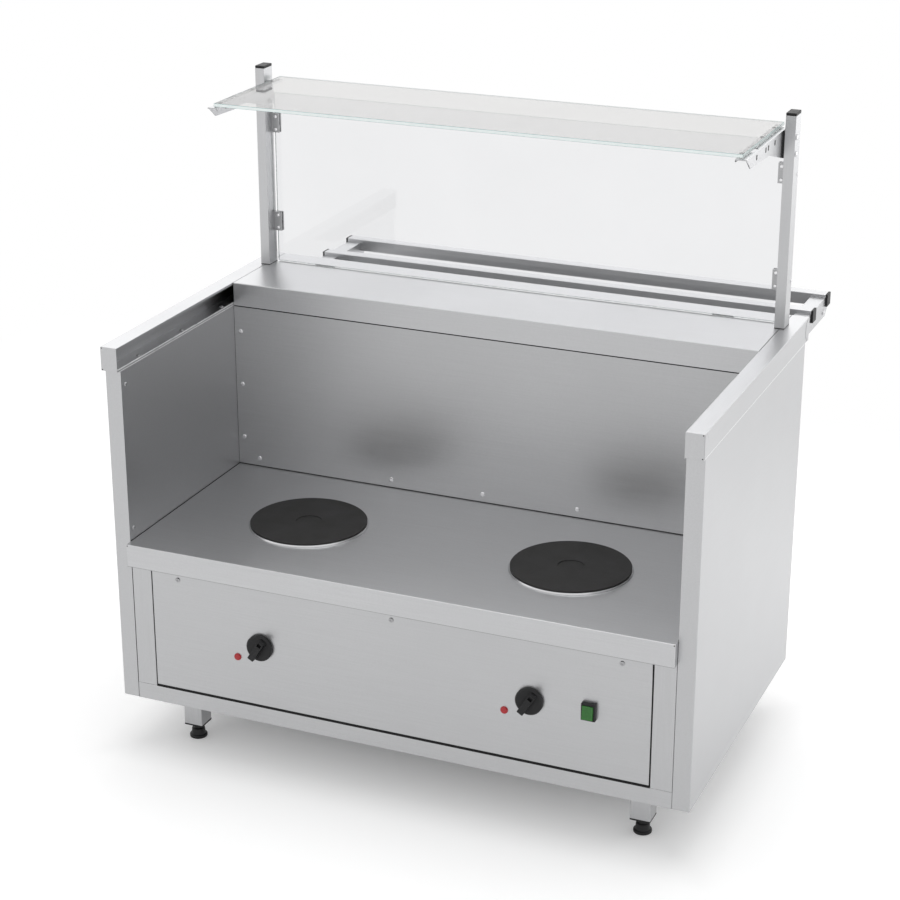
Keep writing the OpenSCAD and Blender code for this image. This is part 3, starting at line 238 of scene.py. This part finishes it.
def glass_edge(name, low, high, painted_glow):
    """Ground edge of a pane, pale green; a glow above zero is painted light, standing in for the light that
    runs inside the glass and leaves at the edge.
    """
    made, g = material(name)
    streaks = g.noise(g.place((30, 30, 30)), 6.0, 3.0)
    colour = g.mix_colour(g.between(streaks, 0.0, 1.0), low, high)
    shader = g.add("ShaderNodeBsdfPrincipled", {
        "Base Color": colour, "Roughness": g.between(streaks, 0.2, 0.32), "IOR": 1.5,
        "Emission Color": colour, "Emission Strength": painted_glow,
    })
    g.surface(shader.outputs[0])
    return made


def ceramic(name):
    """Glazed white ceramic with a faint mottle."""
    made, g = material(name)
    mottle = g.noise(g.place(), 180.0, 3.0)
    colour = g.mix_colour(g.between(mottle, 0.0, 1.0), (0.72, 0.71, 0.68, 1), (0.82, 0.81, 0.79, 1))
    shader = g.add("ShaderNodeBsdfPrincipled", {
        "Base Color": colour, "Roughness": g.between(mottle, 0.3, 0.42),
        "Normal": g.bump(mottle, 0.08, 0.0003),
    })
    g.surface(shader.outputs[0])
    return made


STEEL = (0.54, 0.543, 0.552)
sheet_x = steel("stainless_front", STEEL, 0.36, "x")
sheet_y = steel("stainless_side", STEEL, 0.36, "y")
sheet_z = steel("stainless_upright", STEEL, 0.36, "z")
# The liner and inner sheets take darker copies of the same steel: painted shade for the sheets inside the
# bay. The clamps and sheet screws use the inner copy too.
liner_x = steel("stainless_liner", tint(STEEL, 0.92), 0.4, "x")
inner_x = steel("stainless_inner", tint(STEEL, 0.86), 0.42, "x")
bright = steel("stainless_bright", (0.62, 0.62, 0.63), 0.24, "x", 0.03)
iron = cast_iron("cast_iron")
knob_black = plastic("knob_plastic", (0.011, 0.011, 0.012), 0.46)
cap_black = plastic("cap_plastic", (0.012, 0.012, 0.013), 0.5, 0.2)
rubber = plastic("clear_rubber", (0.84, 0.86, 0.86), 0.45)
red = lens("red_lens", (0.60, 0.022, 0.030), 900.0)
green = lens("green_rocker", (0.026, 0.200, 0.022), 260.0)
# Matt black for painted shade in seams and holes.
painted_shade_black = plastic("painted_shade_black", (0.004, 0.004, 0.004), 0.75, 0.3)
rivet_steel = steel("rivet_steel", (0.80, 0.80, 0.81), 0.16, "x", 0.02)
# The hob deck takes a lighter copy of the same steel: painted light on the floor of the bay.
hob_painted_light = steel("stainless_hob_painted_light", tint(STEEL, 1.07), 0.36, "x")
# Pale matt colour for painted highlights on the caps' lips.
painted_lip_highlight = plastic("painted_lip_highlight", (0.86, 0.86, 0.87), 0.3, 0.05)
# The rear panel takes a much darker copy of the same steel: painted shade, so that the tray tubes mirror a
# dark panel.
rear_painted_shade = steel("stainless_rear_painted_shade", tint(STEEL, 0.55), 0.45, "x")
# A much brighter copy of the steel for painted highlights on the caps' lower edges.
painted_highlight_steel = steel("stainless_edge_painted_highlight", (0.92, 0.92, 0.93), 0.3, "y", 0.02)
# A darker copy of the steel for painted shade lines.
painted_shade_grey = steel("stainless_painted_shade", tint(STEEL, 0.6), 0.4, "x")
white = ceramic("white_ceramic")
conduit = plastic("conduit_grey", (0.22, 0.22, 0.23), 0.55)
shelf_clear = clear_glass("shelf_float_glass", (0.725, 0.72, 0.715))
screen_clear = clear_glass("screen_float_glass", (0.855, 0.858, 0.868))
edge = glass_edge("float_glass_edge", (0.24, 0.40, 0.39, 1), (0.38, 0.56, 0.54, 1), 0.0)
# The shelf's front and back edges glow: a painted highlight.
painted_glow_rim = glass_edge("float_glass_rim", (0.86, 0.95, 0.94, 1), (0.92, 0.98, 0.97, 1), 0.28)
edge_end = glass_edge("float_glass_end", (0.60, 0.67, 0.66, 1), (0.71, 0.77, 0.76, 1), 0.0)

FINISH = {
    "stainless_sheet": sheet_x, "stainless_liner": liner_x, "stainless_inner": inner_x,
    "stainless_tube": sheet_x, "clamp_steel": inner_x, "fastener_steel": bright,
    "spill_ring": bright, "hotplate_iron": iron, "clear_glass": screen_clear,
    "black_plastic": cap_black, "knob_plastic": knob_black, "clear_rubber": rubber,
    "red_lens": red, "green_rocker": green, "white_ceramic": white, "conduit_grey": conduit,
}
slot_of = {row["node"]: row["material_slot"] for row in frame["record"]["subparts"]}
body_of = {node: body for body, members in frame["record"]["behaviour"]["bodies"].items() for node in members}


def finish_node(node, finish=None):
    """Gives a CAD node its procedural material."""
    mesh = nodes[node].data
    for index, old in enumerate(mesh.materials):
        mesh.materials[index] = finish or FINISH[old.name.split(".")[0]]


# Softened copies of the CAD solids


def welded(node):
    """A clean bmesh of a CAD node, with the joins between its coplanar triangles removed."""
    bm = bmesh.new()
    bm.from_mesh(nodes[node].data)
    bmesh.ops.remove_doubles(bm, verts=bm.verts, dist=2e-5)
    bmesh.ops.dissolve_limit(bm, angle_limit=math.radians(0.5), verts=bm.verts, edges=bm.edges)
    bmesh.ops.recalc_face_normals(bm, faces=bm.faces)
    bm.edges.ensure_lookup_table()
    return bm


def reaches(tree, edge_, face, reach):
    """Whether a face runs on for more than the sheet's thickness away from one of its edges."""
    middle = (edge_.verts[0].co + edge_.verts[1].co) / 2
    along = (edge_.verts[1].co - edge_.verts[0].co).normalized()
    inward = face.normal.cross(along).normalized()
    for way in (inward, -inward):
        hit = tree.find_nearest(middle + way * reach)
        if hit[0] is not None and hit[3] < 1e-4 and hit[1].dot(face.normal) > 0.99:
            return True
    return False


def piece_from(bm, name, node, finish, slot=None):
    mesh = bpy.data.meshes.new(name)
    bm.to_mesh(mesh)
    bm.free()
    if "custom_normal" in mesh.attributes:
        mesh.attributes.remove(mesh.attributes["custom_normal"])
    for one in finish if isinstance(finish, (list, tuple)) else [finish]:
        mesh.materials.append(one)
    made = bpy.data.objects.new(name, mesh)
    bpy.context.scene.collection.objects.link(made)
    if node:
        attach(made, body_of[node])
        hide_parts(node)
    slot or slot_of[node]
    return made


def add_bevel(made, width, segments):
    bevel = made.modifiers.new("soft_edges", "BEVEL")
    bevel.limit_method = "WEIGHT"
    bevel.width = width
    bevel.segments = segments
    bevel.use_clamp_overlap = True
    normals = made.modifiers.new("face_normals", "WEIGHTED_NORMAL")
    normals.keep_sharp = True
    normals.weight = 100


def weigh_edges(bm, choose):
    """Sets each hard edge's bevel weight from choose(edge), and marks the others sharp."""
    weights = bm.edges.layers.float.get("bevel_weight_edge") or bm.edges.layers.float.new("bevel_weight_edge")
    for one in bm.edges:
        hard = len(one.link_faces) == 2 and one.calc_face_angle() > math.radians(28)
        one[weights] = choose(one) if hard else 0.0
        one.smooth = not (hard and one[weights] == 0.0)
    for face in bm.faces:
        face.smooth = True


def folded(node, finish, fold=1.8, thickness=1.5, lip=0.2):
    """A folded sheet: round bends outside and inside, and slightly broken cut edges."""
    bm = welded(node)
    tree = BVHTree.FromBMesh(bm)
    reach = 1.7 * thickness * MM

    def choose(one):
        if one.calc_length() < 3 * MM:
            return 0.0
        if not all(reaches(tree, one, face, reach) for face in one.link_faces):
            return lip / fold
        return 1.0 if one.is_convex else max(fold - thickness, lip) / fold

    weigh_edges(bm, choose)
    made = piece_from(bm, node + "_folded", node, finish)
    add_bevel(made, fold * MM, 3)
    return made


def softened(node, finish, radius, shortest=1.5):
    """A solid piece whose hard edges are all rounded by the same radius."""
    bm = welded(node)
    weigh_edges(bm, lambda one: 1.0 if one.calc_length() > shortest * MM else 0.0)
    made = piece_from(bm, node + "_soft", node, finish)
    add_bevel(made, radius * MM, 2)
    return made


def smooth_round(node, finish, radius=0.0):
    """A turned piece: smooth round its axis, with its rims broken where a radius is given."""
    bm = welded(node)
    weigh_edges(bm, lambda one: 1.0 if radius else 0.0)
    made = piece_from(bm, node + "_turned", node, finish)
    if radius:
        add_bevel(made, radius * MM, 2)
    return made


def pane(node, clear, thin, ground, rim):
    """A glass pane with a green rim; thin is its short axis, ground the width of its broken edges."""
    bm = welded(node)
    weigh_edges(bm, lambda one: 1.0 if one.calc_length() > 5.5 * MM else 0.0)
    for face in bm.faces:
        face.smooth = False
        across = max(range(3), key=lambda k: abs(face.normal[k]))
        face.material_index = 0 if across == thin else (3 if across == 0 or rim == 3 else 2)
    made = piece_from(bm, node + "_pane", node, [clear, edge, painted_glow_rim, edge_end])
    bevel = made.modifiers.new("ground_edges", "BEVEL")
    bevel.limit_method = "WEIGHT"
    bevel.width = ground * MM
    bevel.segments = 2
    bevel.material = rim
    return made


def turned_foot(node):
    """A foot with a flanged base, a tapered hub and a narrow neck below the leg, on its threaded stem."""
    mesh = nodes[node].data
    xs = [v.co.x for v in mesh.vertices]
    ys = [v.co.y for v in mesh.vertices]
    top = max(v.co.z for v in mesh.vertices) / MM
    cx, cy = (min(xs) + max(xs)) / 2, (min(ys) + max(ys)) / 2
    profile = [
        (0.0, 0.0), (15.6, 0.0), (16.7, 0.6), (17.0, 1.7), (17.0, 4.4), (16.5, 5.5), (15.2, 6.1), (13.7, 6.4),
        (13.2, 7.2), (12.5, 17.4), (12.1, 18.3), (11.2, 18.7), (9.0, 18.9), (8.3, 19.8), (8.3, 26.0),
        (9.5, 27.2), (12.4, 27.8), (12.4, 29.1), (5.0, 29.1), (5.0, top), (0.0, top),
    ]
    bm = bmesh.new()
    count = 48
    rings = []
    for radius, z in profile:
        ring = []
        for k in range(count if radius else 1):
            turn = 2 * math.pi * k / count
            x, y = cx + radius * MM * math.cos(turn), cy + radius * MM * math.sin(turn)
            ring.append(bm.verts.new((x, y, z * MM)))
        rings.append(ring)
    for low, high in zip(rings, rings[1:]):
        for k in range(count):
            n = (k + 1) % count
            around = [low[k % len(low)], low[n % len(low)], high[n % len(high)], high[k % len(high)]]
            bm.faces.new(list(dict.fromkeys(around)))
    bmesh.ops.recalc_face_normals(bm, faces=bm.faces)
    for face in bm.faces:
        face.smooth = True
    made = piece_from(bm, node + "_turned", node, cap_black)
    made.data.set_sharp_from_angle(angle=math.radians(50))
    return made


# Stage and light

# Strength of the white surroundings for the rays that only carry light
FILL = 0.55


def add_world():
    world = bpy.data.worlds.new("studio")
    bpy.context.scene.world = world
    world.use_nodes = True
    g = Graph(world.node_tree)
    path = g.add("ShaderNodeLightPath")
    seen = g.math("MAXIMUM", path.outputs["Is Camera Ray"], path.outputs["Is Glossy Ray"])
    seen = g.math("MAXIMUM", seen, path.outputs["Is Transmission Ray"])
    fill = g.add("ShaderNodeBackground", {"Color": grey(1.0), "Strength": FILL})
    paper = g.add("ShaderNodeBackground", {"Color": grey(1.0), "Strength": 1.0})
    mix = g.add("ShaderNodeMixShader", {0: seen, 1: fill.outputs[0], 2: paper.outputs[0]})
    g.add("ShaderNodeOutputWorld", {"Surface": mix.outputs[0]})


def add_floor():
    bm = bmesh.new()
    bmesh.ops.create_grid(bm, x_segments=2, y_segments=2, size=14.0)
    mesh = bpy.data.meshes.new("studio_floor")
    bm.to_mesh(mesh)
    bm.free()
    floor = bpy.data.objects.new("studio_floor", mesh)
    floor.location.z = -0.0002
    bpy.context.scene.collection.objects.link(floor)
    made, g = material("studio_floor")
    path = g.add("ShaderNodeLightPath")
    clear = g.math("MAXIMUM", path.outputs["Is Camera Ray"], path.outputs["Is Transmission Ray"])
    paper = g.add("ShaderNodeBsdfDiffuse", {"Color": grey(0.82)})
    split = g.add("ShaderNodeSeparateXYZ", {"Vector": g.place()})
    # Seen in reflections, the floor in front of the counter glows less: painted shade on the front faces that
    # mirror it.
    painted_front_shade = g.between(split.outputs[1], 0.66, 1.0, -0.7, 0.0)
    seen = g.math("ADD", clear, g.math("MULTIPLY", path.outputs["Is Glossy Ray"], painted_front_shade), clamp=True)
    # Distance outside the counter's footprint, negative below it
    beside = g.math("SUBTRACT", g.math("ABSOLUTE", split.outputs[0]), HALF_WIDTH * MM)
    off_middle = g.math("SUBTRACT", split.outputs[1], (BODY_DEPTH / 2 - MID_Y) * MM)
    before = g.math("SUBTRACT", g.math("ABSOLUTE", off_middle), BODY_DEPTH / 2 * MM)
    away = g.math("MAXIMUM", beside, before)
    # The floor's glow is weak below the counter and rises a short way outside it: a painted shadow round the
    # counter's foot, added to the lamps' real shadow.
    painted_shadow_level = g.math("ADD", g.between(away, 0.07, 0.42, -0.22, 0.06), g.between(away, 0.0, 0.20, 0.0, 1.2))
    glow = g.add("ShaderNodeEmission", {"Color": grey(1.0), "Strength": g.math("MULTIPLY", seen, painted_shadow_level)})
    near = g.add("ShaderNodeAddShader", {0: paper.outputs[0], 1: glow.outputs[0]})
    direct = g.math("MAXIMUM", clear, path.outputs["Is Glossy Ray"])
    strength = g.math("ADD", g.math("MULTIPLY", direct, 1.0 - FILL), FILL)
    far = g.add("ShaderNodeEmission", {"Color": grey(1.0), "Strength": strength})
    share = g.between(away, 0.0, 1.0, 0.5, 1.6)
    both = g.add("ShaderNodeMixShader", {0: share, 1: near.outputs[0], 2: far.outputs[0]})
    g.surface(both.outputs[0])
    mesh.materials.append(made)


def add_lamp(name, place, target, size, radiance):
    """A soft rectangular lamp of a given brightness per area."""
    data = bpy.data.lights.new(name, "AREA")
    data.shape = "RECTANGLE"
    data.size, data.size_y = size
    data.energy = radiance * math.pi * size[0] * size[1]
    lamp = bpy.data.objects.new(name, data)
    lamp.location = place
    lamp.rotation_euler = (Vector(target) - Vector(place)).to_track_quat("-Z", "Y").to_euler()
    lamp.visible_camera = False
    bpy.context.scene.collection.objects.link(lamp)


# Detail pieces


def tab_spot(end, way, bulge, t):
    """Where a corner tab's curved edge lies at t, from its top at 0 to its bottom at 1."""
    across = bulge + 12 * math.sin(math.pi * t) ** 0.8
    return end + way * across, TAB_HIGH - 1 - t * (TAB_HIGH - TAB_LOW - 2)


def cap_tabs():
    """Welded corner tabs at the ends of the caps, each with a curved edge."""
    bm = bmesh.new()
    proud = 0.55
    for side in (-1, 1):
        for end, way in ((TAB_FRONT, 1), (TAB_BACK, -1)):
            inner, outer = side * (TAB_X - 0.05), side * (TAB_X + proud)
            outline = [(end + way * 0.6, TAB_LOW), (end + way * 0.6, TAB_HIGH)]
            outline += [tab_spot(end, way, 10, k / 12) for k in range(13)]
            back = [bm.verts.new(at(inner, y, z)) for y, z in outline]
            front = [bm.verts.new(at(outer, y, z)) for y, z in outline]
            bm.faces.new(back)
            bm.faces.new(front)
            count = len(outline)
            for k in range(count):
                n = (k + 1) % count
                bm.faces.new((back[k], back[n], front[n], front[k]))
    bmesh.ops.recalc_face_normals(bm, faces=bm.faces)
    weigh_edges(bm, lambda one: 1.0)
    made = piece_from(bm, "cap_corner_tabs", None, sheet_y, "stainless_sheet")
    add_bevel(made, 0.4 * MM, 2)
    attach(made, "counter")
    return made


def add_box(bm, low, high):
    """One box between two corners, given in the counter's millimetres."""
    spots = [at(x, y, z) for x in (low[0], high[0]) for y in (low[1], high[1]) for z in (low[2], high[2])]
    made = [bm.verts.new(spot) for spot in spots]
    for face in ((0, 1, 3, 2), (4, 6, 7, 5), (0, 4, 5, 1), (2, 3, 7, 6), (0, 2, 6, 4), (1, 5, 7, 3)):
        bm.faces.new([made[k] for k in face])


def detail(bm, name, finish, slot):
    """A small piece of trim that belongs to the counter's body."""
    bmesh.ops.recalc_face_normals(bm, faces=bm.faces)
    made = piece_from(bm, name, None, finish, slot)
    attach(made, "counter")
    return made


def seam_shade_strips():
    """Black strips in the seams between the sheets: painted shade where the gaps fall dark."""
    bm = bmesh.new()
    for side in (-1, 1):
        for x0, x1, y0, y1, z0, z1 in (
            (485.05, 486.95, 0.5, 1.4, 140.6, 426.0),
            (527.05, 527.95, 427.0, 650.5, 806.5, 807.2),
            (526.7, 527.98, 1.6, 425.8, 429.8, 430.3),
            (527.55, 527.95, 426.2, BAY_BACK - 0.1, 430.0, 760.0),
            (527.55, 527.95, 0.8, 1.4, 108.2, 428.0),
            (487.2, 527.3, 0.5, 1.2, 140.52, 140.88),
        ):
            add_box(bm, (side * x0, y0, z0), (side * x1, y1, z1))
    add_box(bm, (-486.9, -0.08, 139.8), (486.9, 3.2, 145.2))
    add_box(bm, (-527.4, 426.5, 430.1), (527.4, BAY_BACK, 430.7))
    add_box(bm, (-526.9, 426.5, 760.05), (526.9, BAY_BACK, 761.95))
    return detail(bm, "seam_shade_strips", painted_shade_black, "black_plastic")


def apron_shade_line():
    """A thin darker strip along the lower edge of the hob deck's apron: painted shade under the edge."""
    bm = bmesh.new()
    add_box(bm, (-527.3, -15.57, 386.1), (527.3, -15.3, 386.9))
    return detail(bm, "apron_edge_shade", painted_shade_grey, "stainless_sheet")


def cap_rim_highlights():
    """The cut lower edges of the caps, drawn as thin strips of a much brighter steel: a painted highlight
    where they catch the light.
    """
    bm = bmesh.new()
    for side in (-1, 1):
        add_box(bm, (side * 560.5, -10.9, 762.95), (side * 560.75, 651.9, 763.75))
    return detail(bm, "cap_rim_highlights", painted_highlight_steel, "stainless_sheet")


def cap_lips():
    """The edges of the lower lips that the caps turn towards the bay, in a pale matt colour: a painted
    highlight where they catch the light.
    """
    bm = bmesh.new()
    for side in (-1, 1):
        add_box(bm, (side * (BAY_X - 0.4), -9.4, 766.0), (side * (BAY_X + 1.6), 425.5, 767.7))
        add_box(bm, (side * (BAY_X - 0.4), -9.4, 761.6), (side * (BAY_X + 0.05), 425.5, 763.2))
    return detail(bm, "cap_lips", painted_lip_highlight, "stainless_sheet")


def relief_dots():
    """Small drilled reliefs at the folded corners of the caps and the hob deck's apron, drawn as black discs:
    painted shade in the holes.
    """
    bm = bmesh.new()
    spots = []
    for side in (-1, 1):
        spots += [((side * 558.2, -11.0, 805.6), "y"), ((side * 558.2, -11.0, 765.2), "y"),
                  ((side * 560.6, -8.4, 765.2), "x"), ((side * 525.4, -15.5, 427.4), "y")]
    for (x, y, z), axis in spots:
        rings = []
        for proud in (-0.2, 0.1):
            ring = []
            for k in range(12):
                turn = 2 * math.pi * k / 12
                a, b = 1.15 * math.cos(turn), 1.15 * math.sin(turn)
                out = proud * (1 if x > 0 else -1)
                spot = at(x + a, y - proud, z + b) if axis == "y" else at(x + out, y + a, z + b)
                ring.append(bm.verts.new(spot))
            rings.append(ring)
            bm.faces.new(ring)
        for k in range(12):
            n = (k + 1) % 12
            bm.faces.new((rings[0][k], rings[0][n], rings[1][n], rings[1][k]))
    return detail(bm, "corner_reliefs", painted_shade_black, "black_plastic")


def arm_hole_shade():
    """Black blocks in the slots and fixing holes of the shelf arms: painted shade inside them."""
    bm = bmesh.new()
    spots = [v.co for v in nodes["shelf_arm_right"].data.vertices]
    outer = max(c.x for c in spots) / MM
    front = min(c.y for c in spots) / MM + MID_Y
    length = max(c.y for c in spots) / MM + MID_Y - front
    top = max(c.z for c in spots) / MM
    for side in (-1, 1):
        for share in (0.249, 0.471, 0.536, 0.697):
            y = front + share * length
            low, high = (outer - 2.2, y - 2.8, top - 14.4), (outer + 0.3, y + 2.8, top - 5.6)
            add_box(bm, (side * low[0], *low[1:]), (side * high[0], *high[1:]))
        for share in (0.433, 0.716, 0.816, 0.931):
            y = front + share * length
            x = outer - 9.0
            add_box(bm, (side * (x - 1.6), y - 1.6, top - 1.85), (side * (x + 1.6), y + 1.6, top - 0.12))
    # The black plastic here is painted shade in the holes, not a part.
    return detail(bm, "arm_hole_shade", cap_black, "black_plastic")


def tab_outlines():
    """The fine dark line along the curved edge of each cap's corner tab: painted shade where the tab stands
    proud of the cap.
    """
    bm = bmesh.new()
    for side in (-1, 1):
        for end, way in ((TAB_FRONT, 1), (TAB_BACK, -1)):
            ribbon = []
            for k in range(17):
                y, z = tab_spot(end, way, 10.3, k / 16)
                ribbon.append([bm.verts.new(at(side * (TAB_X + 0.15), y + way * w, z)) for w in (0.0, 0.9)])
            for a, b in zip(ribbon, ribbon[1:]):
                bm.faces.new((a[0], a[1], b[1], b[0]))
    return detail(bm, "tab_edge_shade", painted_shade_grey, "stainless_sheet")


bpy.context.scene.view_settings.view_transform = "Standard"
add_camera()
add_world()
add_floor()
add_lamp("top_softbox", (0.2, 0.4, 3.6), (0.0, 0.0, 0.6), (3.2, 3.0), 1.15)
add_lamp("back_softbox", (-4.2, 10.0, 6.6), (0.0, 0.0, 0.9), (9.0, 5.0), 1.1)
add_lamp("right_softbox", (2.2, 4.4, 0.75), (0.5, 0.0, 0.4), (2.8, 1.5), 0.6)
add_lamp("side_softbox", (3.4, 2.2, 0.9), (0.4, 0.0, 0.4), (3.0, 1.8), 1.6)
add_lamp("left_softbox", (-3.6, -1.6, 2.2), (0.0, 0.0, 0.5), (2.0, 2.4), 0.3)

for node in nodes:
    finish_node(node)

for node, finish in (
    ("side_panel_left", sheet_y), ("side_panel_right", sheet_y),
    ("cap_arm_left", sheet_y), ("cap_arm_right", sheet_y),
    # The hob deck's lighter steel is painted light.
    ("rear_deck", sheet_x), ("hob_deck", hob_painted_light), ("front_stiles", sheet_z),
    ("tray_tubes", sheet_x),
    ("post_left", sheet_z), ("post_right", sheet_z),
    ("tray_console_left", sheet_y), ("tray_console_right", sheet_y),
    ("shelf_arm_left", sheet_y), ("shelf_arm_right", sheet_y), ("legs", sheet_z),
):
    folded(node, finish)
for node in ("bottom_rail", "control_panel"):
    folded(node, sheet_x, 0.9)
pane("shelf_glass", shelf_clear, 2, 0.55, 1)
pane("screen_glass", screen_clear, 1, 0.3, 3)
for side in ("left", "right"):
    softened("knob_" + side, knob_black, 0.7)
    smooth_round("hotplate_" + side, iron)
softened("switch_housing", knob_black, 0.5)
softened("switch_rocker", green, 0.8)
softened("post_caps", cap_black, 0.9)
softened("tray_tube_caps", cap_black, 1.2)
softened("glass_clamps", inner_x, 0.5)
smooth_round("pilot_lights", red)
smooth_round("hotplate_rings", bright)
smooth_round("rivets", rivet_steel)
smooth_round("sheet_screws", inner_x)
smooth_round("clamp_screws", rivet_steel)
softened("leg_inserts", cap_black, 0.6)
softened("cable_gland", cap_black, 0.4)
for place in ("front_left", "front_right", "rear_left", "rear_right"):
    turned_foot("foot_" + place)
cap_tabs()
tab_outlines()
seam_shade_strips()
apron_shade_line()
cap_rim_highlights()
cap_lips()
arm_hole_shade()
relief_dots()
# The rear panel's darker steel is painted shade.
finish_node("rear_panel", rear_painted_shade)
